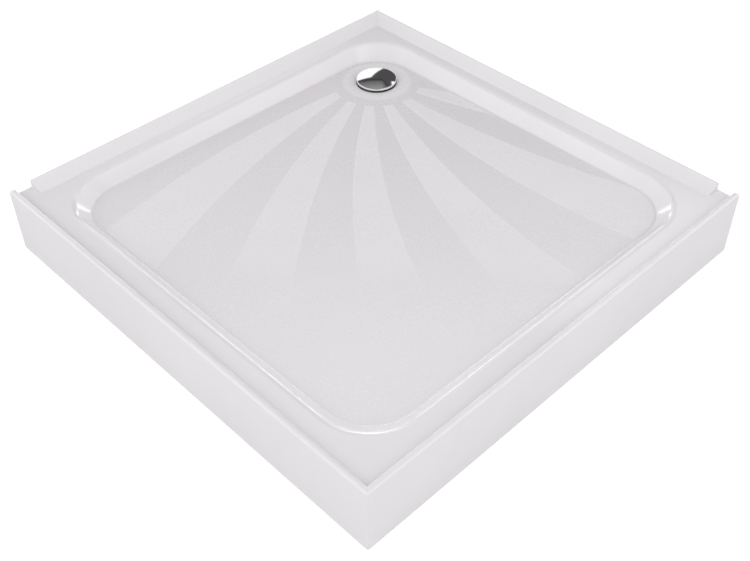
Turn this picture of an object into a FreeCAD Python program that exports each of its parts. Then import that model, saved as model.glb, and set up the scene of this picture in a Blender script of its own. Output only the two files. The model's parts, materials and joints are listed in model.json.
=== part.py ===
import FreeCAD, Part
import os
from math import atan2, cos, degrees, pi, radians, sin, sqrt, tan

# Square shower tray with two wall sides and a lift-off corner panel, on a levelling frame.
# Millimetres, +Z up. The origin is on the floor under the middle of the plan.
# The panel faces -Y (front) and +X (side). The walls are at -X (left) and +Y (rear).
# The tray is the same on both sides of the diagonal that runs from the waste to the panel's corner.

V = FreeCAD.Vector

# ---- driving dimensions: tray shell
plan_length = 900.0          # each outer side, over panel and upstands
rim_height = 118.0           # top of the flat rim above the floor
shell_wall = 4.0             # moulded sheet
rim_width = 54.0             # from an outer side to the edge of the bowl's opening
opening_corner = 98.0        # corner radius of the opening
wall_run = 19.0              # bowl wall from its upper edge to its foot, seen from above
floor_corner = 88.0          # corner radius of the floor
opening_round = 5.0          # rounding of the opening's edge
foot_round = 4.0             # rounding at the foot of the bowl's walls
waste_inset = 154.0          # waste axis from each wall face
bowl_depth = 27.7            # rim's top to the sloped floor plane at the waste axis
floor_fall = 0.0125          # rise of the floor per mm away from the waste, along the diagonal
upstand_rise = 14.5          # top of the wall upstands above the rim
upstand_top_width = 3.5
upstand_foot_width = 29.5    # foot of the sloped face from the wall face
upstand_edge_round = 1.2
upstand_end_gap = 42.0       # plain rim between an upstand's end and the panel's face
skirt_height = 22.0          # turned-down sheet on the wall sides
lip_wall = 3.2               # upright lip under the panel's bead
lip_height = 8.0
ledge_depth = 0.6            # sunk strip of the rim under the bead's inner leg
ledge_gap = 0.4

# ---- driving dimensions: dish and fan of the bowl's floor
dish_radius = 74.0
dish_drop = 1.3              # below the floor plane at the seat's edge
ray_start = 91.0             # from the waste axis to the near ends of the rays
ray_share = 0.8615           # of the way to the floor's far corner, where the rays have faded out
ray_rise = 0.8               # above the floor plane at the near ends
ray_side_run = 2.4           # sloped side of a ray, seen from above
ray_root = 1.0               # reach of a ray's solid below the floor plane
ray_wall_gap = 3.0           # flat strip between a ray and the foot of the wall
# Direction of each ray's left and right edge at the three fan radii, in degrees from +X.
fan_rays = (
    ((-109.0, -94.2, -86.5), (-95.0, -81.6, -74.5)),
    ((-82.2, -71.0, -63.7), (-70.2, -60.3, -54.0)),
    ((-58.5, -50.5, -44.2), (-45.9, -40.7, -34.6)),
    ((-35.9, -30.6, -24.4), (-23.2, -19.7, -13.5)),
    ((-11.3, -8.1, -1.5), (2.8, 5.1, 11.0)),
    ((17.0, 18.0, 22.0), (31.0, 32.0, 36.0)),
)

# ---- driving dimensions: corner panel
bead_rise = 13.0             # panel's top above the rim
panel_wall = 3.0
panel_floor_gap = 2.0
bead_width = 10.0            # raised band on top, from the outer face inwards
bead_round = 3.5
bead_inner_round = 1.2
panel_corner_round = 3.0
panel_return = 15.0          # turned-in lower edge, from the outer face inwards

# ---- driving dimensions: floor core
core_margin = 17.0           # from the foot of the bowl's walls inwards
core_corner = 76.0
core_thickness = 14.3        # at the waste axis
core_recess_reach = 60.0     # cut-away for the trap, from the waste axis

# ---- driving dimensions: frame of square tubes
tube_width = 25.0
tube_wall = 2.0
frame_inset = 120.0          # tube centre lines from the tray's outer sides
trap_rail_gap = 14.7         # trap's bowl to the rail beside it
screw_hole_clearance = 0.15
fixing_shank = 2.5           # radius
fixing_head_flats = 10.0
fixing_head_height = 4.0
fixing_depth = 10.0          # reach into the core
fixing_inset = 210.0         # from the frame's corners

# ---- driving dimensions: levelling feet
stud_radius = 5.0
stud_foot_height = 4.0       # lower end of the stud above the floor
stud_reach = 15.0            # above the tube's underside
foot_inset = 40.0            # from the frame's corners
diagonal_foot_inset = 45.0
stud_clearance = 0.3         # radial, in nuts and pads
stud_hole_radius = 5.6       # holes in the tubes
collar_flats = 14.0          # spanner collar of the stud
collar_height = 5.0
collar_gap = 0.2             # under the lock nut
nut_flats = 17.0
weld_nut_height = 8.0
lock_nut_height = 5.0
pad_radius = 22.0
pad_height = 11.0
pad_rim_height = 3.0
pad_neck_radius = 9.0
pad_shoulder = 3.5

# ---- driving dimensions: panel brackets and cleats
bracket_width = 30.0
bracket_thickness = 3.0
bracket_tab_height = 15.0
bracket_inset = 80.0         # from the frame's corners
bracket_screw_spacing = 16.0
bracket_screw_shank = 3.0    # radius
bracket_screw_reach = 6.0    # into the tube
tab_clearance = 0.4
cleat_depth = 18.0           # from the panel's rear face inwards
cleat_height = 20.0
cleat_slot_from_panel = 11.0 # panel's rear face to the tab's outer face

# ---- driving dimensions: waste and trap
waste_hole_radius = 31.0
seat_radius = 42.0           # sunk seat of the flange in the dish
seat_depth = 2.0
boss_radius = 55.0           # level boss under the dish
boss_wall = 3.5
flange_seal_thickness = 1.0
flange_radius = 40.5
flange_thickness = 1.5
throat_radius = 29.3         # outer thread of the flange's throat
throat_bore = 25.5
throat_length = 24.0
insert_ledge_bore = 27.8
insert_ledge_depth = 1.5
body_seal_thickness = 2.0
body_seal_bore = 31.0
body_seal_radius = 45.0
running_gap = 0.3
trap_flange_radius = 46.0
trap_flange_thickness = 4.0
trap_neck_wall = 4.4
trap_neck_height = 12.0
trap_bowl_radius = 52.0
trap_wall = 3.0
trap_height = 75.5
trap_base_bevel = 4.0
trap_shoulder_drop = 21.5    # below the trap's top
trap_weir_bore = 31.0        # radius of the inner cup
trap_weir_wall = 2.5
trap_weir_rise = 47.0        # above the inside of the bowl's bottom
insert_tube_radius = 22.0
insert_tube_wall = 2.0
insert_floor_gap = 7.0
insert_ring_height = 12.0
oring_section = 1.4          # radius
oring_depth_below_ring = 6.0
hub_radius = 9.0
hub_height = 9.0
hub_floor = 1.5
hub_recess = 1.0             # below the flange's top
hub_bar_width = 3.0
hub_bar_height = 3.0
cover_radius = 41.0
cover_edge_gap = 4.5         # cover's edge above the dish
cover_edge_height = 3.0      # upright edge
cover_edge_round = 1.3       # rolled over to the dome
cover_dome = 2.7             # rise of the dome above the rolled edge
cover_wall = 1.5
cover_stem_radius = 5.0
outlet_rise = 28.5           # axis above the trap's underside
outlet_radius = 20.0
outlet_wall = 2.4
socket_radius = 24.0
socket_reach = 72.0          # from the waste axis
socket_stop = 56.0
spigot_radius = 19.7         # inserted end of the outlet pipe
washer_thickness = 3.0
union_nut_radius = 28.5
union_nut_length = 17.0
union_nut_lip = 3.0
union_nut_flutes = 12
union_flute_radius = 2.5
outlet_wall_gap = 14.0       # outlet's end to the wall face

# ---- sizes that follow from the driving dimensions
half_plan = plan_length / 2
rim_underside = rim_height - shell_wall
upstand_height = rim_height + upstand_rise
skirt_bottom = rim_height - skirt_height
panel_height = rim_height + bead_rise
opening_length = plan_length - 2 * rim_width
floor_length = opening_length - 2 * wall_run
waste_floor_height = rim_height - bowl_depth
dish_height = waste_floor_height - dish_drop
waste_x = -half_plan + waste_inset
waste_y = half_plan - waste_inset
waste = V(waste_x, waste_y, 0)
panel_inner = half_plan - panel_wall
bead_leg_outer = half_plan - bead_width + panel_wall
lip_outer = (panel_inner + bead_leg_outer + lip_wall) / 2
sheet_growth = shell_wall * tan(atan2(bowl_depth, wall_run) / 2)
ray_reach = ray_share * sqrt(2) * (floor_length / 2 + half_plan - waste_inset)
fan_radii = (ray_start, 0.488 * ray_reach, 0.976 * ray_reach)
ray_root_run = ray_side_run * ray_root / ray_rise
core_length = floor_length - 2 * core_margin
core_bottom = waste_floor_height - shell_wall - core_thickness
seat_height = dish_height - seat_depth
boss_underside = seat_height - boss_wall
trap_top = boss_underside - body_seal_thickness
trap_neck_bottom = trap_top - trap_flange_thickness - trap_neck_height
trap_bottom = trap_top - trap_height
trap_inner_bottom = trap_bottom + trap_wall
trap_shoulder_height = trap_top - trap_shoulder_drop
trap_weir_top = trap_inner_bottom + trap_weir_rise
insert_bottom = trap_inner_bottom + insert_floor_gap
outlet_height = trap_bottom + outlet_rise
flange_underside = seat_height + flange_seal_thickness
flange_top = flange_underside + flange_thickness
insert_ledge = flange_top - insert_ledge_depth
insert_ring_radius = throat_bore - running_gap
hub_bottom = flange_top - hub_recess - hub_height
cover_edge_bottom = dish_height + cover_edge_gap
frame_half = half_plan - frame_inset
rail_distance = trap_bowl_radius + trap_rail_gap + tube_width / 2
frame_corner_cut = 2 * (waste_inset - frame_inset) + sqrt(2) * rail_distance
bracket_offset = frame_half - bracket_inset
tube_top = core_bottom
tube_bottom = tube_top - tube_width
weld_nut_bottom = tube_bottom - weld_nut_height
lock_nut_bottom = weld_nut_bottom - lock_nut_height
collar_bottom = lock_nut_bottom - collar_gap - collar_height
stud_top_height = tube_bottom + stud_reach
bracket_top = tube_bottom
bracket_bottom = bracket_top - bracket_thickness
tab_outer = panel_inner - cleat_slot_from_panel
tab_inner = tab_outer - bracket_thickness
tab_top = bracket_top + bracket_tab_height
big = 4 * plan_length


# ---- helpers

def block(x0, x1, y0, y1, z0, z1):
    return Part.makeBox(x1 - x0, y1 - y0, z1 - z0, V(x0, y0, z0))


def cylinder(radius, z0, z1, centre=V(0, 0, 0)):
    return Part.makeCylinder(radius, z1 - z0, V(centre.x, centre.y, z0))


def ring(outer, inner, z0, z1, centre=V(0, 0, 0)):
    return cylinder(outer, z0, z1, centre).cut(cylinder(inner, z0 - 1, z1 + 1, centre))


def prism(outline, z0, z1):
    """Upright prism over a closed outline of (x, y) corners."""
    corners = [V(x, y, z0) for x, y in outline]
    face = Part.Face(Part.makePolygon(corners + corners[:1]))
    return face.extrude(V(0, 0, z1 - z0))


def hexagon(flats, z0, z1, centre=V(0, 0, 0)):
    reach = flats / sqrt(3)
    outline = [(centre.x + reach * cos(k * pi / 3), centre.y + reach * sin(k * pi / 3)) for k in range(6)]
    return prism(outline, z0, z1)


def turned(profile, centre=V(0, 0, 0)):
    """Solid of revolution of a closed (radius, height) profile about the upright axis at centre."""
    corners = [V(r, 0, z) for r, z in profile]
    face = Part.Face(Part.makePolygon(corners + corners[:1]))
    solid = face.revolve(V(0, 0, 0), V(0, 0, 1), 360)
    solid.translate(V(centre.x, centre.y, 0))
    return solid


def side_profile(profile, x0, x1):
    """Bar along X with a closed (y, z) section."""
    corners = [V(x0, y, z) for y, z in profile]
    face = Part.Face(Part.makePolygon(corners + corners[:1]))
    return face.extrude(V(x1 - x0, 0, 0))


def across_diagonal(shape):
    """The same piece on the other side of the tray's diagonal."""
    return shape.mirror(V(0, 0, 0), V(1, 1, 0))


def solid_of(shape):
    """The one solid that a join or cut leaves, with split faces merged."""
    return shape.removeSplitter().Solids[0]


def edges_where(shape, test):
    return [edge for edge in shape.Edges if test(edge.BoundBox)]


def rounded_square(length, radius, height_at):
    """Closed outline of a square with round corners, lifted to height_at(x, y)."""
    half = length / 2
    straight = half - radius
    point = lambda x, y: V(x, y, height_at(x, y))
    edges = []
    for quarter in range(4):
        turn = quarter * pi / 2
        place = lambda u, v: point(u * cos(turn) - v * sin(turn), u * sin(turn) + v * cos(turn))
        bulge = straight + radius * cos(pi / 4)
        edges.append(Part.LineSegment(place(half, -straight), place(half, straight)).toShape())
        edges.append(Part.Arc(place(half, straight), place(bulge, bulge), place(straight, half)).toShape())
    return Part.Wire(edges)


def from_waste(x, y):
    """Distance from the waste axis, measured along the tray's diagonal."""
    return ((x - waste_x) - (y - waste_y)) / sqrt(2)


def floor_at(x, y):
    return waste_floor_height + floor_fall * from_waste(x, y)


def ray_top_at(x, y):
    left = (ray_reach - from_waste(x, y)) / (ray_reach - ray_start)
    return floor_at(x, y) + ray_rise * left


def ray_root_at(x, y):
    return floor_at(x, y) - ray_root


# ---- tray shell

def bowl_space(growth, drop):
    """The bowl's hollow, or with growth and drop its outer surface."""
    top = rounded_square(opening_length + 2 * growth, opening_corner + growth, lambda x, y: rim_height - drop)
    foot = rounded_square(floor_length + 2 * growth, floor_corner + growth,
                          lambda x, y: floor_at(x, y) - drop)
    return Part.makeLoft([foot, top], True, True)


def fan_ray(left, right):
    """Raised ray with sloped sides and ends, highest near the dish and fading out away from it."""
    def edge_points(angles, inset, height_at):
        points = []
        for radius, angle, end in zip(fan_radii, angles, (1, 0, -1)):
            turn = radians(angle) + (inset if angles is left else -inset) / radius
            reach = radius + end * inset
            x = waste_x + reach * cos(turn)
            y = waste_y + reach * sin(turn)
            points.append(V(x, y, height_at(x, y)))
        return points

    def outline(inset, height_at):
        a = edge_points(left, inset, height_at)
        b = edge_points(right, inset, height_at)
        middle = radians((left[0] + right[0]) / 2)
        x = waste_x + (ray_start + inset) * cos(middle)
        y = waste_y + (ray_start + inset) * sin(middle)
        inner = V(x, y, height_at(x, y))
        return Part.Wire([
            Part.Arc(*a).toShape(),
            Part.LineSegment(a[2], b[2]).toShape(),
            Part.Arc(b[2], b[1], b[0]).toShape(),
            Part.Arc(b[0], inner, a[0]).toShape(),
        ])

    root = outline(-ray_root_run, ray_root_at)
    top = outline(ray_side_run, ray_top_at)
    return Part.makeLoft([root, top], True, True)


def fan_limit():
    """Space over the floor, with sloped sides, in which the rays may rise."""
    length = floor_length - 2 * ray_wall_gap
    corner = floor_corner - ray_wall_gap
    root = rounded_square(length + 2 * ray_root_run, corner + ray_root_run, ray_root_at)
    top = rounded_square(length - 4 * ray_side_run, corner - 2 * ray_side_run,
                         lambda x, y: floor_at(x, y) + 2 * ray_rise)
    return Part.makeLoft([root, top], True, True)


def dish_space():
    """Shallow cone round the waste, turned about the normal of the sloped floor."""
    depth = dish_drop * dish_radius / (dish_radius - seat_radius)
    dish = turned([(0, -depth), (dish_radius, 0), (dish_radius, ray_rise), (0, ray_rise)])
    dish.rotate(V(0, 0, 0), V(-1, -1, 0), degrees(atan2(floor_fall, 1)))
    dish.translate(V(waste_x, waste_y, waste_floor_height))
    return dish


def left_upstand():
    """Solid and hollow wedges of the upstand along the left wall, as bars along Y."""
    end = -half_plan + upstand_end_gap
    outer = -half_plan
    slope_top = outer + upstand_top_width
    slope_foot = outer + upstand_foot_width
    rise = upstand_height - rim_height
    run = upstand_foot_width - upstand_top_width
    face = sqrt(rise ** 2 + run ** 2)
    inside = outer + shell_wall
    hollow_foot = slope_foot - shell_wall * (face - run) / rise
    hollow_top = rim_underside + (hollow_foot - inside) * rise / run
    length = half_plan - end

    def bar(section, start, reach):
        corners = [V(x, start, z) for x, z in section]
        return Part.Face(Part.makePolygon(corners + corners[:1])).extrude(V(0, reach, 0))

    wedge = bar([(outer, rim_underside), (outer, upstand_height), (slope_top, upstand_height),
                 (slope_foot, rim_height), (slope_foot, rim_underside)], end, length)
    top_edges = edges_where(wedge, lambda b: b.ZMin > upstand_height - 0.01 and b.YLength > length / 2)
    wedge = wedge.makeFillet(upstand_edge_round, top_edges)
    hollow = bar([(inside, rim_underside - 1), (inside, hollow_top), (hollow_foot, rim_underside),
                  (hollow_foot, rim_underside - 1)], end + shell_wall, length - 2 * shell_wall)
    return wedge, hollow


def tray_shell():
    rim = block(-half_plan, lip_outer, -lip_outer, half_plan, rim_underside, rim_height)
    skirt = block(-half_plan, -half_plan + shell_wall, -lip_outer, half_plan, skirt_bottom, rim_height)
    lip = block(-lip_outer, lip_outer, -lip_outer, -lip_outer + lip_wall, rim_underside, rim_height + lip_height)
    wedge, hollow = left_upstand()
    boss = cylinder(boss_radius, boss_underside, dish_height, waste)
    outside = bowl_space(sheet_growth, shell_wall)
    shell = rim.fuse([skirt, across_diagonal(skirt), lip, across_diagonal(lip),
                      wedge, across_diagonal(wedge), outside, boss])
    ledge = block(-half_plan, lip_outer, -lip_outer + lip_wall, -half_plan + bead_width + ledge_gap,
                  rim_height - ledge_depth, rim_height + lip_height)
    shell = shell.cut([hollow, across_diagonal(hollow), ledge, across_diagonal(ledge)])

    space = bowl_space(0, 0)
    foot_edges = edges_where(space, lambda b: b.ZMax < rim_height - wall_run / 2 and b.ZLength < wall_run / 2)
    shell = shell.cut(space.makeFillet(foot_round, foot_edges))

    seat = cylinder(seat_radius, seat_height, rim_height, waste)
    hole = cylinder(waste_hole_radius, 0, rim_height, waste)
    shell = shell.cut([dish_space(), seat, hole])
    limit = fan_limit()
    shell = shell.fuse([fan_ray(left, right).common(limit) for left, right in fan_rays])

    reach = opening_length / 2 + 1
    opening_edges = edges_where(shell, lambda b: b.ZMin > rim_height - 0.01 and b.ZMax < rim_height + 0.01
                                and max(abs(b.XMin), abs(b.XMax), abs(b.YMin), abs(b.YMax)) < reach)
    return solid_of(shell.makeFillet(opening_round, opening_edges))


def floor_core():
    """Stiffening core bonded under the bowl, level below and following the floor's fall above."""
    top = rounded_square(core_length, core_corner, lambda x, y: floor_at(x, y) - shell_wall)
    bottom = rounded_square(core_length, core_corner, lambda x, y: core_bottom)
    core = Part.makeLoft([bottom, top], True, True)
    left = waste_x - waste_inset
    rear = waste_y + waste_inset
    holes = [cylinder(core_recess_reach, 0, rim_height, waste),
             block(left, waste_x + core_recess_reach, waste_y, rear, 0, rim_height),
             block(left, waste_x, waste_y - core_recess_reach, rear, 0, rim_height)]
    for spot in fixing_spots():
        holes.append(cylinder(fixing_shank + screw_hole_clearance, 0, core_bottom + fixing_depth, spot))
    return solid_of(core.cut(holes))


# ---- corner panel

def corner_panel():
    face = -half_plan
    bead_inner = face + bead_width
    section = [
        (face, panel_floor_gap), (face, panel_height), (bead_inner, panel_height),
        (bead_inner, rim_height - ledge_depth), (-bead_leg_outer, rim_height - ledge_depth),
        (-bead_leg_outer, panel_height - panel_wall), (-panel_inner, panel_height - panel_wall),
        (-panel_inner, panel_floor_gap + panel_wall), (face + panel_return, panel_floor_gap + panel_wall),
        (face + panel_return, panel_floor_gap),
    ]
    front = side_profile(section, -half_plan, half_plan)
    cap = block(-half_plan, -half_plan + panel_wall, face, bead_inner, rim_height, panel_height)
    front = solid_of(front.fuse(cap))
    round_edges = edges_where(front, lambda b: b.ZMin > panel_height - 0.01 and b.YMax < face + 0.01)
    round_edges += edges_where(front, lambda b: b.ZMin > panel_height - 0.01 and b.XMax < -half_plan + 0.01)
    is_inner_edge = lambda b: b.ZMin > panel_height - 0.01 and b.YMin > bead_inner - 0.01
    front = front.makeFillet(bead_round, round_edges)
    front = front.makeFillet(bead_inner_round, edges_where(front, is_inner_edge))
    beyond = prism([(big, -big), (big, big), (-big, big)], -1, panel_height + 1)
    front = front.cut(beyond)
    panel = front.fuse(across_diagonal(front))
    return solid_of(panel.common(panel_outline()))


def panel_outline():
    """Upright prism over the tray's plan, with the corner between the panel's two faces rounded."""
    plan = block(-half_plan, half_plan, -half_plan, half_plan, 0, panel_height)
    corner = edges_where(plan, lambda b: b.XMin > half_plan - 0.01 and b.YMax < -half_plan + 0.01)
    return plan.makeFillet(panel_corner_round, corner)


def front_cleats():
    """Two hooks on the panel's rear face that drop over the upturned ends of the brackets."""
    cleats = []
    for x in (-bracket_offset, bracket_offset):
        half = bracket_width / 2
        top = tab_top + tab_clearance + (cleat_height - bracket_tab_height + tab_clearance)
        hook = block(x - half, x + half, -panel_inner, -panel_inner + cleat_depth, top - cleat_height, top)
        slot = block(x - half - 1, x + half + 1, -tab_outer - tab_clearance, -tab_inner + tab_clearance,
                     0, tab_top + tab_clearance)
        cleats.append(hook.cut(slot))
    return cleats


# ---- frame

def frame_corners():
    near = frame_half - frame_corner_cut
    return [V(-frame_half, -frame_half, 0), V(frame_half, -frame_half, 0), V(frame_half, frame_half, 0),
            V(-near, frame_half, 0), V(-frame_half, near, 0)]


def ring_rail(index, width, inset):
    """One mitred side of the frame's ring, width wide and inset from the tube's top and bottom."""
    corners = frame_corners()
    count = len(corners)

    def mitre(k, offset):
        before = (corners[k] - corners[k - 1]).normalize()
        after = (corners[(k + 1) % count] - corners[k]).normalize()
        normals = V(before.y, -before.x, 0) + V(after.y, -after.x, 0)
        return corners[k] + normals * (2 * offset / normals.dot(normals))

    ends = (index, (index + 1) % count)
    outline = [mitre(ends[0], width / 2), mitre(ends[1], width / 2),
               mitre(ends[1], -width / 2), mitre(ends[0], -width / 2)]
    return prism([(p.x, p.y) for p in outline], tube_bottom + inset, tube_top - inset)


def diagonal_bar(width, inset):
    """Bar from the waste corner of the frame to the corner under the panel's corner."""
    reach = frame_half * sqrt(2)
    start = -(frame_half - frame_corner_cut / 2) * sqrt(2)
    bar = block(start, reach, -width / 2, width / 2, tube_bottom + inset, tube_top - inset)
    bar.rotate(V(0, 0, 0), V(0, 0, 1), -45)
    return bar


def foot_spots():
    """Places of the six levelling feet, mirrored about the diagonal, the last two on it."""
    along = frame_half - foot_inset
    near = frame_half - frame_corner_cut - foot_inset
    diagonal = frame_half - diagonal_foot_inset
    return [V(-frame_half, -along, 0), V(along, frame_half, 0), V(-frame_half, near, 0),
            V(-near, frame_half, 0), V(diagonal, -diagonal, 0), V(0, 0, 0)]


def fixing_spots():
    """Places of the screws from the frame into the core."""
    step = frame_half - fixing_inset
    return [V(-step, -frame_half, 0), V(step, -frame_half, 0), V(frame_half, -step, 0),
            V(frame_half, step, 0), V(-frame_half, -step, 0), V(step, frame_half, 0),
            V(-step, step, 0), V(step, -step, 0)]


def bracket_screw_spots():
    """Two screws for each of the two front brackets, then the same for the side brackets."""
    front = [V(x + side * bracket_screw_spacing / 2, -frame_half, 0)
             for x in (-bracket_offset, bracket_offset) for side in (-1, 1)]
    return front + [V(-spot.y, -spot.x, 0) for spot in front]


def drilled(tube):
    """The tube with its holes for the studs, the fixing screws and the bracket screws."""
    holes = [cylinder(stud_hole_radius, 0, tube_bottom + 2 * tube_wall, spot) for spot in foot_spots()]
    holes += [cylinder(fixing_shank + screw_hole_clearance, 0, tube_top + 1, spot)
              for spot in fixing_spots()]
    holes += [cylinder(bracket_screw_shank + screw_hole_clearance, 0, tube_bottom + 2 * tube_wall, spot)
              for spot in bracket_screw_spots()]
    return solid_of(tube.cut(holes))


def ring_tube(index):
    tube = ring_rail(index, tube_width, 0).cut(ring_rail(index, tube_width - 2 * tube_wall, tube_wall))
    return drilled(tube)


def diagonal_tube():
    bar = diagonal_bar(tube_width, 0).cut(diagonal_bar(tube_width - 2 * tube_wall, tube_wall))
    return drilled(bar.cut([ring_rail(k, tube_width, 0) for k in range(len(frame_corners()))]))


def hex_screw(spot, head_bottom, head_height, flats, shank, top):
    head = hexagon(flats, head_bottom, head_bottom + head_height, spot)
    return solid_of(head.fuse(cylinder(shank, head_bottom, top, spot)))


def fixing_screws():
    bottom = tube_bottom - fixing_head_height
    return [hex_screw(spot, bottom, fixing_head_height, fixing_head_flats, fixing_shank,
                      core_bottom + fixing_depth) for spot in fixing_spots()]


# ---- panel brackets

def front_bracket(x):
    """Bent flat bar under the front rail, with its end turned up behind the panel."""
    half = bracket_width / 2
    inner = -frame_half + tube_width / 2
    bar = side_profile([(-tab_outer, bracket_bottom), (inner, bracket_bottom), (inner, bracket_top),
                        (-tab_inner, bracket_top), (-tab_inner, tab_top), (-tab_outer, tab_top)],
                       x - half, x + half)
    bend = edges_where(bar, lambda b: b.XLength > half and b.YMax < -tab_outer + 0.01
                       and b.ZMax < bracket_bottom + 0.01)
    bar = bar.makeFillet(bracket_thickness, bend)
    holes = [cylinder(bracket_screw_shank + screw_hole_clearance, 0, tube_top, spot)
             for spot in bracket_screw_spots()]
    return solid_of(bar.cut(holes))


def bracket_screws():
    bottom = bracket_bottom - fixing_head_height
    return [hex_screw(spot, bottom, fixing_head_height, fixing_head_flats, bracket_screw_shank,
                      tube_bottom + bracket_screw_reach) for spot in bracket_screw_spots()]


# ---- levelling feet

def foot_pad(spot):
    socket = stud_radius + stud_clearance
    return turned([(0, 0), (pad_radius, 0), (pad_radius, pad_rim_height),
                   (pad_neck_radius + pad_shoulder, pad_height - pad_shoulder), (pad_neck_radius, pad_height),
                   (socket, pad_height), (socket, stud_foot_height), (0, stud_foot_height)], spot)


def foot_stud(spot):
    collar = hexagon(collar_flats, collar_bottom, collar_bottom + collar_height, spot)
    return solid_of(cylinder(stud_radius, stud_foot_height, stud_top_height, spot).fuse(collar))


def foot_nuts(bottom, height):
    bore = stud_radius + stud_clearance
    return [hexagon(nut_flats, bottom, bottom + height, spot).cut(cylinder(bore, 0, rim_height, spot))
            for spot in foot_spots()]


# ---- waste and trap

def waste_flange():
    return turned([
        (throat_bore, flange_underside - throat_length), (throat_radius, flange_underside - throat_length),
        (throat_radius, flange_underside), (flange_radius, flange_underside),
        (flange_radius - 0.5, flange_top), (insert_ledge_bore, flange_top),
        (insert_ledge_bore, insert_ledge), (throat_bore, insert_ledge),
    ], waste)


def flange_seal():
    return ring(flange_radius, waste_hole_radius, seat_height, flange_underside, waste)


def body_seal():
    return ring(body_seal_radius, body_seal_bore, trap_top, boss_underside, waste)


def trap_body():
    """Low trap: inner cup with a weir, outer bowl and a threaded outlet socket towards the rear wall."""
    neck_bore = throat_radius + running_gap
    neck = neck_bore + trap_neck_wall
    bowl_bore = trap_bowl_radius - trap_wall
    shoulder_inside = trap_shoulder_height - trap_wall
    body = turned([
        (0, trap_bottom), (trap_bowl_radius - trap_base_bevel, trap_bottom),
        (trap_bowl_radius, trap_bottom + trap_base_bevel),
        (trap_bowl_radius, trap_shoulder_height), (neck, trap_neck_bottom),
        (neck, trap_top - trap_flange_thickness), (trap_flange_radius, trap_top - trap_flange_thickness),
        (trap_flange_radius, trap_top), (neck_bore, trap_top), (neck_bore, trap_neck_bottom - trap_wall),
        (bowl_bore, shoulder_inside), (bowl_bore, trap_inner_bottom),
        (trap_weir_bore + trap_weir_wall, trap_inner_bottom), (trap_weir_bore + trap_weir_wall, trap_weir_top),
        (trap_weir_bore, trap_weir_top), (trap_weir_bore, trap_inner_bottom), (0, trap_inner_bottom),
    ])
    inside = trap_bowl_radius - trap_wall / 2
    socket = outlet_cylinder(socket_radius, inside, socket_reach)
    body = body.fuse(socket.cut(cylinder(bowl_bore, 0, rim_height)))
    body = body.cut([outlet_cylinder(spigot_radius + running_gap, socket_stop, socket_reach + 1),
                     outlet_cylinder(outlet_radius - outlet_wall, bowl_bore - 5, socket_reach)])
    body.translate(waste)
    return solid_of(body)


def outlet_cylinder(radius, start, end):
    """Cylinder on the outlet's axis, between two distances from the waste axis towards the rear wall."""
    return Part.makeCylinder(radius, end - start, V(0, start, outlet_height), V(0, 1, 0))


def outlet_pipe():
    end = waste_inset - outlet_wall_gap
    free_start = socket_reach + washer_thickness + union_nut_lip
    pipe = outlet_cylinder(spigot_radius, socket_stop, end).fuse(outlet_cylinder(outlet_radius, free_start, end))
    pipe = pipe.cut(outlet_cylinder(outlet_radius - outlet_wall, socket_stop - 1, end + 1))
    pipe.translate(waste)
    return solid_of(pipe)


def outlet_washer():
    end = socket_reach + washer_thickness
    washer = outlet_cylinder(socket_radius, socket_reach, end).cut(outlet_cylinder(spigot_radius, 0, end + 1))
    washer.translate(waste)
    return solid_of(washer)


def outlet_union_nut():
    end = socket_reach + washer_thickness + union_nut_lip
    start = end - union_nut_length
    nut = outlet_cylinder(union_nut_radius, start, end)
    flute = outlet_cylinder(union_flute_radius, start - 1, end - union_nut_lip)
    flute.translate(V(union_nut_radius + union_flute_radius / 2, 0, 0))
    flutes = []
    for k in range(union_nut_flutes):
        copy = flute.copy()
        copy.rotate(V(0, 0, outlet_height), V(0, 1, 0), 360 * k / union_nut_flutes)
        flutes.append(copy)
    nut = nut.cut(flutes)
    nut = nut.cut([outlet_cylinder(spigot_radius + running_gap, start - 1, end + 1),
                   outlet_cylinder(socket_radius + screw_hole_clearance, start - 1, end - union_nut_lip)])
    nut.translate(waste)
    return solid_of(nut)


def waste_insert():
    """Lift-out dip tube with its seat ring, O-ring groove, four bars and the hub that carries the cover."""
    tube_bore = insert_tube_radius - insert_tube_wall
    ring_bottom = insert_ledge - insert_ring_height
    groove_top = insert_ledge - oring_depth_below_ring + oring_section
    groove_bottom = groove_top - 2 * oring_section
    groove = insert_ring_radius - 2 * oring_section
    tube = turned([
        (tube_bore, insert_bottom), (insert_tube_radius, insert_bottom), (insert_tube_radius, ring_bottom),
        (insert_ring_radius, ring_bottom), (insert_ring_radius, groove_bottom), (groove, groove_bottom),
        (groove, groove_top), (insert_ring_radius, groove_top), (insert_ring_radius, insert_ledge),
        (insert_ledge_bore - running_gap, insert_ledge), (insert_ledge_bore - running_gap, flange_top),
        (tube_bore, flange_top),
    ])
    hub = cylinder(hub_radius, hub_bottom, hub_bottom + hub_height)
    reach = tube_bore + insert_tube_wall / 2
    half = hub_bar_width / 2
    bars = [block(-reach, reach, -half, half, hub_bottom, hub_bottom + hub_bar_height),
            block(-half, half, -reach, reach, hub_bottom, hub_bottom + hub_bar_height)]
    socket = cylinder(cover_stem_radius + running_gap, hub_bottom + hub_floor, flange_top)
    insert = tube.fuse([hub] + bars).cut(socket)
    insert.translate(waste)
    return solid_of(insert)


def insert_o_ring():
    """Ring with an eight-sided section that touches the bottom of its groove."""
    middle = insert_ledge - oring_depth_below_ring
    corner = oring_section / cos(pi / 8)
    turns = [(k + 0.5) * pi / 4 for k in range(8)]
    return turned([(insert_ring_radius - oring_section + corner * cos(turn), middle + corner * sin(turn))
                   for turn in turns], waste)


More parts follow.
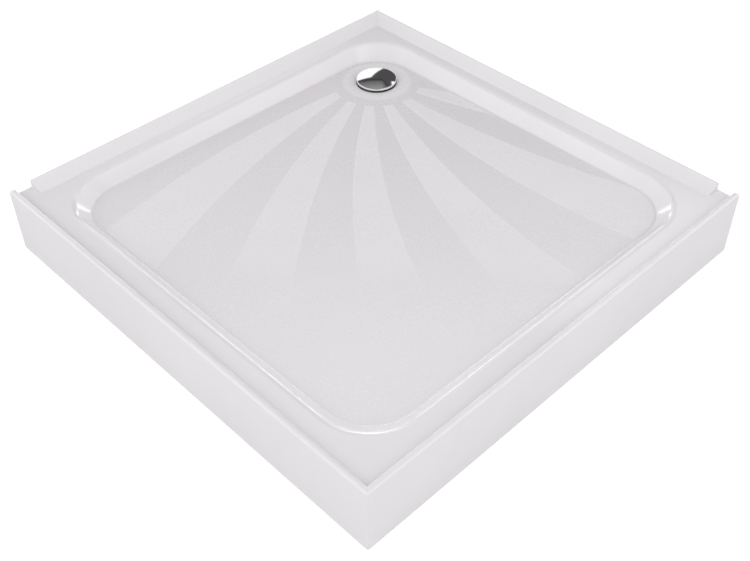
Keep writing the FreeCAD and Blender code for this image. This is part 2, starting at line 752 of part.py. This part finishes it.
def waste_cover():
    """Domed disc with a turned-down edge and a central stem that stands in the insert's hub."""
    edge_top = cover_edge_bottom + cover_edge_height
    dome_radius = cover_radius - cover_edge_round
    dome_foot = edge_top + cover_edge_round
    dome_top = dome_foot + cover_dome
    sphere = (dome_radius ** 2 + cover_dome ** 2) / (2 * cover_dome)
    middle = dome_radius / 2
    middle_height = dome_top - sphere + sqrt(sphere ** 2 - middle ** 2)
    dome = Part.Arc(V(dome_radius, 0, dome_foot), V(middle, 0, middle_height), V(0, 0, dome_top))
    roll = cover_edge_round * cos(pi / 4)
    edge = Part.Arc(V(cover_radius, 0, edge_top), V(dome_radius + roll, 0, edge_top + roll),
                    V(dome_radius, 0, dome_foot))
    inner_radius = cover_radius - cover_wall
    corners = [
        (0, dome_top), (0, hub_bottom + hub_floor), (cover_stem_radius, hub_bottom + hub_floor),
        (cover_stem_radius, dome_top - cover_wall), (middle, middle_height - cover_wall),
        (inner_radius, edge_top), (inner_radius, cover_edge_bottom), (cover_radius, cover_edge_bottom),
        (cover_radius, edge_top),
    ]
    points = [V(r, 0, z) for r, z in corners]
    outline = Part.Wire([*Part.makePolygon(points).Edges, edge.toShape(), dome.toShape()])
    cover = Part.Face(outline).revolve(V(0, 0, 0), V(0, 0, 1), 360)
    cover.translate(waste)
    return solid_of(cover)


# ---- assembly

def all_pieces():
    cleats = front_cleats()
    pieces = {
        "tray_shell": tray_shell(),
        "floor_core": floor_core(),
        "corner_panel": corner_panel(),
        "panel_cleats": Part.Compound(cleats + [across_diagonal(c) for c in cleats]),
        "frame_fixing_screws": Part.Compound(fixing_screws()),
        "panel_bracket_screws": Part.Compound(bracket_screws()),
        "foot_weld_nuts": Part.Compound(foot_nuts(weld_nut_bottom, weld_nut_height)),
        "foot_lock_nuts": Part.Compound(foot_nuts(lock_nut_bottom, lock_nut_height)),
        "waste_cover": waste_cover(),
        "waste_insert": waste_insert(),
        "insert_o_ring": insert_o_ring(),
        "waste_flange": waste_flange(),
        "flange_seal": flange_seal(),
        "body_seal": body_seal(),
        "trap_body": trap_body(),
        "outlet_pipe": outlet_pipe(),
        "outlet_washer": outlet_washer(),
        "outlet_union_nut": outlet_union_nut(),
        "frame_diagonal_rail": diagonal_tube(),
    }
    for index, name in enumerate(("front", "side", "rear", "waste_corner", "left")):
        pieces["frame_" + name + "_rail"] = ring_tube(index)
    for name, x in (("left", -bracket_offset), ("right", bracket_offset)):
        pieces["panel_bracket_front_" + name] = front_bracket(x)
    for name, x in (("rear", -bracket_offset), ("front", bracket_offset)):
        pieces["panel_bracket_side_" + name] = across_diagonal(front_bracket(x))
    for number, spot in enumerate(foot_spots(), 1):
        pieces["foot_pad_" + str(number)] = foot_pad(spot)
        pieces["foot_stud_" + str(number)] = foot_stud(spot)
    return pieces


os.makedirs("parts", exist_ok=True)
for name, shape in all_pieces().items():
    shape.exportStep("parts/" + name + ".step")
    print(name, len(shape.Solids), "solid(s)", round(shape.Volume / 1000, 2), "cm3", "valid", shape.isValid())
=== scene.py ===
import json
from math import cos, radians, sin, sqrt

import bpy
from mathutils import Matrix, Vector


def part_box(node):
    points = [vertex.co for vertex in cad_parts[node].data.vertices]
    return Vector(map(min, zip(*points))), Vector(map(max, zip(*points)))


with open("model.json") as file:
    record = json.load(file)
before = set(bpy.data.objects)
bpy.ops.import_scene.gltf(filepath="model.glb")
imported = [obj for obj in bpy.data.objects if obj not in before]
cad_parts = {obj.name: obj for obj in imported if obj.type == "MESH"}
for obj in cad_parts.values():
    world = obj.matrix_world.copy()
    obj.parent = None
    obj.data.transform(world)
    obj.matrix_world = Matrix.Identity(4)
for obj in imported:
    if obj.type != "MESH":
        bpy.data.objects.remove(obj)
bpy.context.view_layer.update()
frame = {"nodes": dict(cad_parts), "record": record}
nodes = frame["nodes"]

# ---- places on the part that the materials follow, in metres

FLOOR_AT_WASTE = 0.0903            # height of the bowl's floor plane at the waste axis
FLOOR_FALL = 0.0125                # its rise per metre away from the waste, along the diagonal
FOOT_OF_WALL = (0.0018, 0.0011)    # over the floor plane: smooth wall above, textured floor below
RAY_SIDE = (0.00005, 0.0003)       # over the floor plane: a ray's sloped side
# The dish's edge also bounds painted light: the dish round the waste is whitened against the shade the cover
# casts on it.
DISH_SIDE = (-0.00005, -0.0003)    # under the floor plane: the dish's edge
# Painted shade: the valleys' greyer tone near the waste fades out between these distances.
PAINTED_SHADE_FADE = (0.20, 0.82)           # from the waste axis, along the diagonal
OPENING_HALF = 0.396               # from the middle of the tray to the side of the bowl's opening
OPENING_CORNER = 0.098             # corner radius of the opening
OPENING_CROWN = (-0.002, 0.009)    # outwards from the opening's edge; in the shading only
BEAD_CROWN = (0.0105, 0.0055)      # inwards from the panel's outer faces; in the shading only

waste_low, waste_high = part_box("waste_cover")
panel_low, panel_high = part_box("corner_panel")
waste_x, waste_y = ((waste_low[axis] + waste_high[axis]) / 2 for axis in (0, 1))


# ---- node helpers

def is_socket(value):
    return isinstance(value, bpy.types.NodeSocket)


def add(tree, kind, inputs=(), out=0, **settings):
    """A shader node with its inputs set or linked, returned as one of its outputs."""
    node = tree.nodes.new("ShaderNode" + kind)
    for name, value in settings.items():
        setattr(node, name, value)
    pairs = inputs.items() if isinstance(inputs, dict) else enumerate(inputs)
    for key, value in pairs:
        if is_socket(value):
            tree.links.new(value, node.inputs[key])
        elif value is not None:
            node.inputs[key].default_value = value
    return node.outputs[out]


def calc(tree, operation, a, b=None, c=None):
    return add(tree, "Math", (a, b, c), operation=operation)


def components(tree, vector):
    node = tree.nodes.new("ShaderNodeSeparateXYZ")
    tree.links.new(vector, node.inputs[0])
    return node.outputs


def remap(tree, value, low, high, to_low=0.0, to_high=1.0, smooth=False):
    kind = "SMOOTHSTEP" if smooth else "LINEAR"
    return add(tree, "MapRange", (value, low, high, to_low, to_high), interpolation_type=kind)


def noise(tree, where, scale, detail=2.0, roughness=0.5):
    return add(tree, "TexNoise", {"Vector": where, "Scale": scale, "Detail": detail, "Roughness": roughness})


def blend_colors(tree, share, a, b):
    rgba = [tuple(c) + (1.0,) if not is_socket(c) else c for c in (a, b)]
    return add(tree, "Mix", {0: share, 6: rgba[0], 7: rgba[1]}, out=2, data_type="RGBA")


def bump(tree, height, depth, strength=1.0, normal=None):
    return add(tree, "Bump", {"Strength": strength, "Distance": depth, "Height": height, "Normal": normal})


def new_material(name):
    material = bpy.data.materials.new(name)
    material.use_nodes = True
    tree = material.node_tree
    shader = tree.nodes["Principled BSDF"]
    where = add(tree, "TexCoord", out=3)
    return material, tree, shader, where


def finish_shader(tree, shader, color, roughness, normal=None, **values):
    """Links the varying inputs, and sets the constant ones on the shader's own sockets."""
    tree.links.new(color, shader.inputs["Base Color"])
    tree.links.new(roughness, shader.inputs["Roughness"])
    if normal is not None:
        tree.links.new(normal, shader.inputs["Normal"])
    for name, value in values.items():
        shader.inputs[name.replace("_", " ")].default_value = value


# ---- materials

ACRYLIC_IOR = 1.49


def opening_crown(tree, x, y):
    """1 on the rim, and falls to 0 over the rounded edge of the bowl's opening."""
    straight = OPENING_HALF - OPENING_CORNER
    past_x, past_y = (calc(tree, "SUBTRACT", calc(tree, "ABSOLUTE", v), straight) for v in (x, y))
    out_x, out_y = (calc(tree, "MAXIMUM", v, 0.0) for v in (past_x, past_y))
    squares = [calc(tree, "MULTIPLY", v, v) for v in (out_x, out_y)]
    reach = calc(tree, "SQRT", calc(tree, "ADD", *squares))
    inner = calc(tree, "MINIMUM", calc(tree, "MAXIMUM", past_x, past_y), 0.0)
    outside = calc(tree, "SUBTRACT", calc(tree, "ADD", reach, inner), OPENING_CORNER)
    return remap(tree, outside, *OPENING_CROWN, smooth=True)


def acrylic_shell():
    """White acrylic: glossy, but satin and grained on the bowl's floor, with painted shade greying its
    valleys near the waste and painted light whitening the dish round the waste.
    """
    material, tree, shader, where = new_material("acrylic_shell")
    x, y, z = components(tree, where)
    across = calc(tree, "ADD", calc(tree, "SUBTRACT", x, y), waste_y - waste_x)
    from_waste = calc(tree, "DIVIDE", across, sqrt(2))
    plane = calc(tree, "MULTIPLY_ADD", from_waste, FLOOR_FALL, FLOOR_AT_WASTE)
    height = calc(tree, "SUBTRACT", z, plane)
    floor = remap(tree, height, *FOOT_OF_WALL)
    raised = remap(tree, height, *RAY_SIDE)
    # Painted light: the sunken dish round the waste takes the white tone, to make up for the shade the cover
    # casts there.
    painted_light_on_dish = remap(tree, height, *DISH_SIDE)
    # Painted shade: the valleys' grey fades to the white tone away from the waste, where the shade in the
    # channels eases.
    painted_shade_faded_out = remap(tree, from_waste, *PAINTED_SHADE_FADE)
    own_white_and_painted_light = calc(tree, "MAXIMUM", calc(tree, "MAXIMUM", raised, painted_light_on_dish), painted_shade_faded_out)

    speckle = noise(tree, where, 420.0, 2.0, 0.6)
    grain = calc(tree, "MULTIPLY", floor, calc(tree, "ADD", noise(tree, where, 900.0, 1.0), speckle))
    cloud = remap(tree, noise(tree, where, 5.0, 3.0), 0.35, 0.65)
    white = blend_colors(tree, cloud, (0.815, 0.790, 0.815), (0.835, 0.812, 0.835))
    # The satin colours are partly the grain's own tone and partly painted shade in the floor's valleys near
    # the waste.
    satin_and_painted_shade = blend_colors(tree, remap(tree, grain, 0.7, 1.3), (0.744, 0.718, 0.744), (0.757, 0.732, 0.757))
    color = blend_colors(tree, own_white_and_painted_light, satin_and_painted_shade, white)
    gloss, satin_extra = 0.10, 0.16
    dull = calc(tree, "MULTIPLY_ADD", floor, satin_extra, gloss)
    roughness = calc(tree, "ADD", dull, remap(tree, speckle, 0.3, 0.7, -0.02, 0.04))

    smooth = bump(tree, noise(tree, where, 70.0, 1.0), 0.0004, 0.06)
    rolled = bump(tree, opening_crown(tree, x, y), 0.0030, 1.0, smooth)
    normal = bump(tree, grain, 0.00025, 0.12, rolled)
    finish_shader(tree, shader, color, roughness, normal, IOR=ACRYLIC_IOR)
    return material


def acrylic_panel():
    """The same white acrylic, glossy all over, with the crown of the bead on top."""
    material, tree, shader, where = new_material("acrylic_panel")
    cloud = remap(tree, noise(tree, where, 4.0, 3.0), 0.35, 0.65)
    color = blend_colors(tree, cloud, (0.810, 0.786, 0.810), (0.832, 0.808, 0.832))
    roughness = remap(tree, noise(tree, where, 30.0, 3.0), 0.3, 0.7, 0.10, 0.17)
    x, y, _ = components(tree, where)
    from_side = calc(tree, "SUBTRACT", panel_high[0], x)
    from_front = calc(tree, "SUBTRACT", y, panel_low[1])
    crown = remap(tree, calc(tree, "MINIMUM", from_side, from_front), *BEAD_CROWN, smooth=True)
    smooth = bump(tree, noise(tree, where, 60.0, 1.0), 0.0004, 0.08)
    normal = bump(tree, crown, 0.0013, 1.0, smooth)
    finish_shader(tree, shader, color, roughness, normal, IOR=ACRYLIC_IOR)
    return material


def cast_resin():
    """Filled resin, cast without a finish."""
    material, tree, shader, where = new_material("cast_resin")
    lumps = noise(tree, where, 45.0, 6.0, 0.6)
    color = blend_colors(tree, remap(tree, lumps, 0.3, 0.7), (0.70, 0.66, 0.54), (0.56, 0.52, 0.42))
    roughness = remap(tree, noise(tree, where, 130.0, 4.0), 0.3, 0.7, 0.55, 0.85)
    normal = bump(tree, noise(tree, where, 260.0, 5.0), 0.0008, 0.5)
    finish_shader(tree, shader, color, roughness, normal)
    return material


def zinc(name, light, dark, spangles):
    """Zinc plate with spangle, drawn lines along the piece and a passivated tint."""
    material, tree, shader, where = new_material(name)
    spangle = add(tree, "TexVoronoi", {"Vector": where, "Scale": spangles})
    cloud = noise(tree, where, 18.0, 4.0)
    share = calc(tree, "MULTIPLY", remap(tree, spangle, 0.1, 0.8), remap(tree, cloud, 0.3, 0.7))
    color = blend_colors(tree, share, light, dark)
    roughness = remap(tree, noise(tree, where, 90.0, 5.0), 0.3, 0.7, 0.28, 0.46)
    stretched = add(tree, "Mapping", {0: where, 3: (40.0, 900.0, 900.0)})
    lines = add(tree, "TexNoise", {"Vector": stretched, "Scale": 1.0})
    normal = bump(tree, lines, 0.0001, 0.2)
    finish_shader(tree, shader, color, roughness, normal, Metallic=1.0)
    return material


def moulded(name, light, dark, low, high, grain, relief, **values):
    """Moulded plastic or rubber, roughness from low to high, with a fine grain of the given relief."""
    material, tree, shader, where = new_material(name)
    color = blend_colors(tree, remap(tree, noise(tree, where, 22.0, 4.0), 0.3, 0.7), light, dark)
    roughness = remap(tree, noise(tree, where, 60.0, 4.0), 0.3, 0.7, low, high)
    normal = bump(tree, noise(tree, where, grain, 2.0), relief, 0.4)
    finish_shader(tree, shader, color, roughness, normal, **values)
    return material


def chrome():
    """Polished plate with a slight haze."""
    material, tree, shader, where = new_material("chrome")
    haze = noise(tree, where, 120.0, 3.0)
    color = blend_colors(tree, remap(tree, haze, 0.35, 0.65), (0.92, 0.92, 0.93), (0.89, 0.89, 0.90))
    roughness = remap(tree, noise(tree, where, 300.0, 4.0), 0.35, 0.65, 0.035, 0.07)
    finish_shader(tree, shader, color, roughness, Metallic=1.0)
    return material


MATERIALS = {
    "acrylic_shell": acrylic_shell(),
    "acrylic_panel": acrylic_panel(),
    "resin_core": cast_resin(),
    "white_plastic": moulded("white_plastic", (0.80, 0.80, 0.79), (0.74, 0.74, 0.73),
                             low=0.35, high=0.5, grain=500.0, relief=0.0002),
    "zinc_tube": zinc("zinc_tube", (0.62, 0.63, 0.65), (0.47, 0.48, 0.50), spangles=70.0),
    "zinc_strip": zinc("zinc_strip", (0.60, 0.61, 0.62), (0.50, 0.51, 0.52), spangles=120.0),
    "zinc_fasteners": zinc("zinc_fasteners", (0.68, 0.66, 0.58), (0.56, 0.54, 0.46), spangles=200.0),
    "black_plastic": moulded("black_plastic", (0.035, 0.035, 0.037), (0.05, 0.05, 0.052),
                             low=0.4, high=0.6, grain=700.0, relief=0.0002),
    "chrome": chrome(),
    "grey_plastic": moulded("grey_plastic", (0.07, 0.07, 0.075), (0.10, 0.10, 0.105),
                            low=0.35, high=0.5, grain=400.0, relief=0.0002),
    "rubber": moulded("rubber", (0.03, 0.03, 0.03), (0.045, 0.045, 0.045),
                      low=0.6, high=0.8, grain=600.0, relief=0.0002),
    "trap_plastic": moulded("trap_plastic", (0.80, 0.80, 0.79), (0.74, 0.74, 0.73),
                            low=0.25, high=0.38, grain=150.0, relief=0.0002),
}

for part in frame["record"]["subparts"]:
    mesh = nodes[part["node"]].data
    mesh.materials.clear()
    mesh.materials.append(MATERIALS[part["material_slot"]])


# ---- stage: pale floor, studio surroundings and lamps

# Level directions in the world along which the mirrored room is laid out, as seen in the photograph.
# They are fixed, and don't follow the camera in other views.
ROOM_RIGHT = (0.697, 0.717, 0.0)
ROOM_FAR = (-0.717, 0.697, 0.0)
HORIZON_LEVEL = 0.95      # strengths, where 1 is white
FAR_GLOW = 5.0            # added very low at the far side, for the light lines along the near edges


def connect_output(tree, kind, surface):
    output = tree.nodes.new("ShaderNodeOutput" + kind)
    tree.links.new(surface, output.inputs["Surface"])


def pale_floor(reach=6.0, seen_glow=0.72, mirrored_glow=0.5, bounce=0.75):
    """White for the camera but for the object's soft shadow, and greyer for everything else."""
    corners = [(-reach, -reach, 0), (reach, -reach, 0), (reach, reach, 0), (-reach, reach, 0)]
    mesh = bpy.data.meshes.new("studio_floor")
    mesh.from_pydata(corners, [], [(0, 1, 2, 3)])
    floor = bpy.data.objects.new("studio_floor", mesh)
    bpy.context.collection.objects.link(floor)
    material = bpy.data.materials.new("studio_floor")
    material.use_nodes = True
    tree = material.node_tree
    tree.nodes.clear()
    where = add(tree, "TexCoord", out=3)
    shade = remap(tree, noise(tree, where, 3.0, 2.0), 0.3, 0.7, 0.49, 0.51)
    lit = add(tree, "BsdfDiffuse", {"Color": add(tree, "CombineColor", (shade, shade, shade))})
    seen = add(tree, "AddShader", (lit, add(tree, "Emission", {"Strength": seen_glow})))
    plain = add(tree, "BsdfDiffuse", {"Color": (bounce, bounce, bounce, 1.0)})
    mirrored = add(tree, "Emission", {"Strength": mirrored_glow})
    rays = tree.nodes.new("ShaderNodeLightPath")
    soft = add(tree, "MixShader", (rays.outputs["Is Glossy Ray"], plain, mirrored))
    connect_output(tree, "Material", add(tree, "MixShader", (rays.outputs["Is Camera Ray"], soft, seen)))
    mesh.materials.append(material)


def mirrored_room(tree, way):
    """What glossy rays alone see: a white wall on the left, a grey ceiling above a dark cornice,
    panes on the right, and a white low horizon that glows well above white at the far side.
    """
    z = components(tree, way)[2]
    right, far = (add(tree, "VectorMath", (way, axis), out=1, operation="DOT_PRODUCT")
                  for axis in (ROOM_RIGHT, ROOM_FAR))
    soft_edge = 0.006

    wall_side = remap(tree, z, 0.30, 0.535, 0.045, -0.043)
    wall_top = remap(tree, right, -0.155, -0.043, 0.568, 0.535)
    past_side = calc(tree, "SUBTRACT", right, wall_side)
    past_top = calc(tree, "SUBTRACT", z, wall_top)
    wall = calc(tree, "MULTIPLY",
                remap(tree, past_side, soft_edge, -soft_edge, 0.0, 1.1),
                remap(tree, past_top, soft_edge, -soft_edge))

    ceiling_edge = remap(tree, right, 0.05, 0.15, 0.592, 0.80)
    above = calc(tree, "SUBTRACT", z, ceiling_edge)
    cornice = remap(tree, above, -0.03, 0.0, 0.075, 0.04)
    lit_ceiling = calc(tree, "ADD", remap(tree, above, 0.0, 0.035, 0.04, 0.14),
                       remap(tree, above, 0.035, 0.15, 0.0, 0.16))
    ceiling = calc(tree, "MAXIMUM", cornice, lit_ceiling)

    pane = calc(tree, "MULTIPLY", remap(tree, right, 0.132, 0.140, 0.0, 1.5),
                calc(tree, "MULTIPLY", remap(tree, z, 0.59, 0.60), remap(tree, z, 0.70, 0.69)))
    low_pane = calc(tree, "MULTIPLY", remap(tree, right, 0.33, 0.38), remap(tree, z, 0.55, 0.50))
    panes = calc(tree, "MAXIMUM", pane, low_pane)

    far_glow = calc(tree, "MULTIPLY", remap(tree, z, 0.20, 0.10, 0.0, FAR_GLOW), remap(tree, far, 0.2, 0.5))
    horizon = calc(tree, "ADD", remap(tree, z, 0.31, 0.25, 0.0, HORIZON_LEVEL), far_glow)
    return calc(tree, "MAXIMUM", calc(tree, "MAXIMUM", ceiling, horizon), calc(tree, "MAXIMUM", wall, panes))


def studio_world(overhead=0.57, sides=1.39):
    """White for the camera, the mirrored room for gloss, and a soft sky, brighter low down, for the rest."""
    world = bpy.data.worlds.new("studio")
    bpy.context.scene.world = world
    world.use_nodes = True
    tree = world.node_tree
    tree.nodes.clear()
    way = add(tree, "TexCoord", out=0)
    level = calc(tree, "SUBTRACT", 1.0, calc(tree, "ABSOLUTE", components(tree, way)[2]))
    ambient = calc(tree, "MULTIPLY_ADD", calc(tree, "POWER", level, 3.0), sides, overhead)
    rays = tree.nodes.new("ShaderNodeLightPath")
    unseen = add(tree, "Mix", {0: rays.outputs["Is Glossy Ray"], 2: ambient, 3: mirrored_room(tree, way)},
                 data_type="FLOAT")
    strength = add(tree, "Mix", {0: rays.outputs["Is Camera Ray"], 2: unseen, 3: 1.0}, data_type="FLOAT")
    background = add(tree, "Background", {"Color": (1.0, 1.0, 1.0, 1.0), "Strength": strength})
    connect_output(tree, "World", background)


def area_lamp(name, place, energy, size=1.8, target=(0.0, 0.0, 0.1)):
    lamp = bpy.data.lights.new(name, "AREA")
    lamp.shape = "SQUARE"
    lamp.size = size
    lamp.energy = energy
    holder = bpy.data.objects.new(name, lamp)
    bpy.context.collection.objects.link(holder)
    holder.visible_glossy = False
    holder.location = place
    holder.rotation_euler = (Vector(target) - Vector(place)).to_track_quat("-Z", "Y").to_euler()


def photo_camera():
    """Camera at the photograph's angle, for an image of 750 x 561."""
    camera = bpy.data.cameras.new("camera")
    camera.sensor_fit = "HORIZONTAL"
    camera.sensor_width = 36.0
    camera.lens = 51.715
    camera.shift_x = -0.00827
    camera.shift_y = -0.0048
    place = Vector((1.0632, -1.0241, 1.2972))
    looks_at = Vector((0.0625, -0.0431, 0.0))
    roll = radians(-0.12)
    back = (place - looks_at).normalized()
    level_right = Vector((0, 0, 1)).cross(back).normalized()
    level_up = back.cross(level_right)
    right = cos(roll) * level_right + sin(roll) * level_up
    up = cos(roll) * level_up - sin(roll) * level_right
    holder = bpy.data.objects.new("camera", camera)
    bpy.context.collection.objects.link(holder)
    axes = Matrix((right, up, back)).transposed().to_4x4()
    holder.matrix_world = Matrix.Translation(place) @ axes
    bpy.context.scene.camera = holder


pale_floor()
studio_world()
area_lamp("front", (-0.6, -2.4, 2.2), 21.5)
area_lamp("side", (2.4, 0.6, 2.2), 18.0)
photo_camera()
bpy.context.scene.view_settings.view_transform = "Standard"
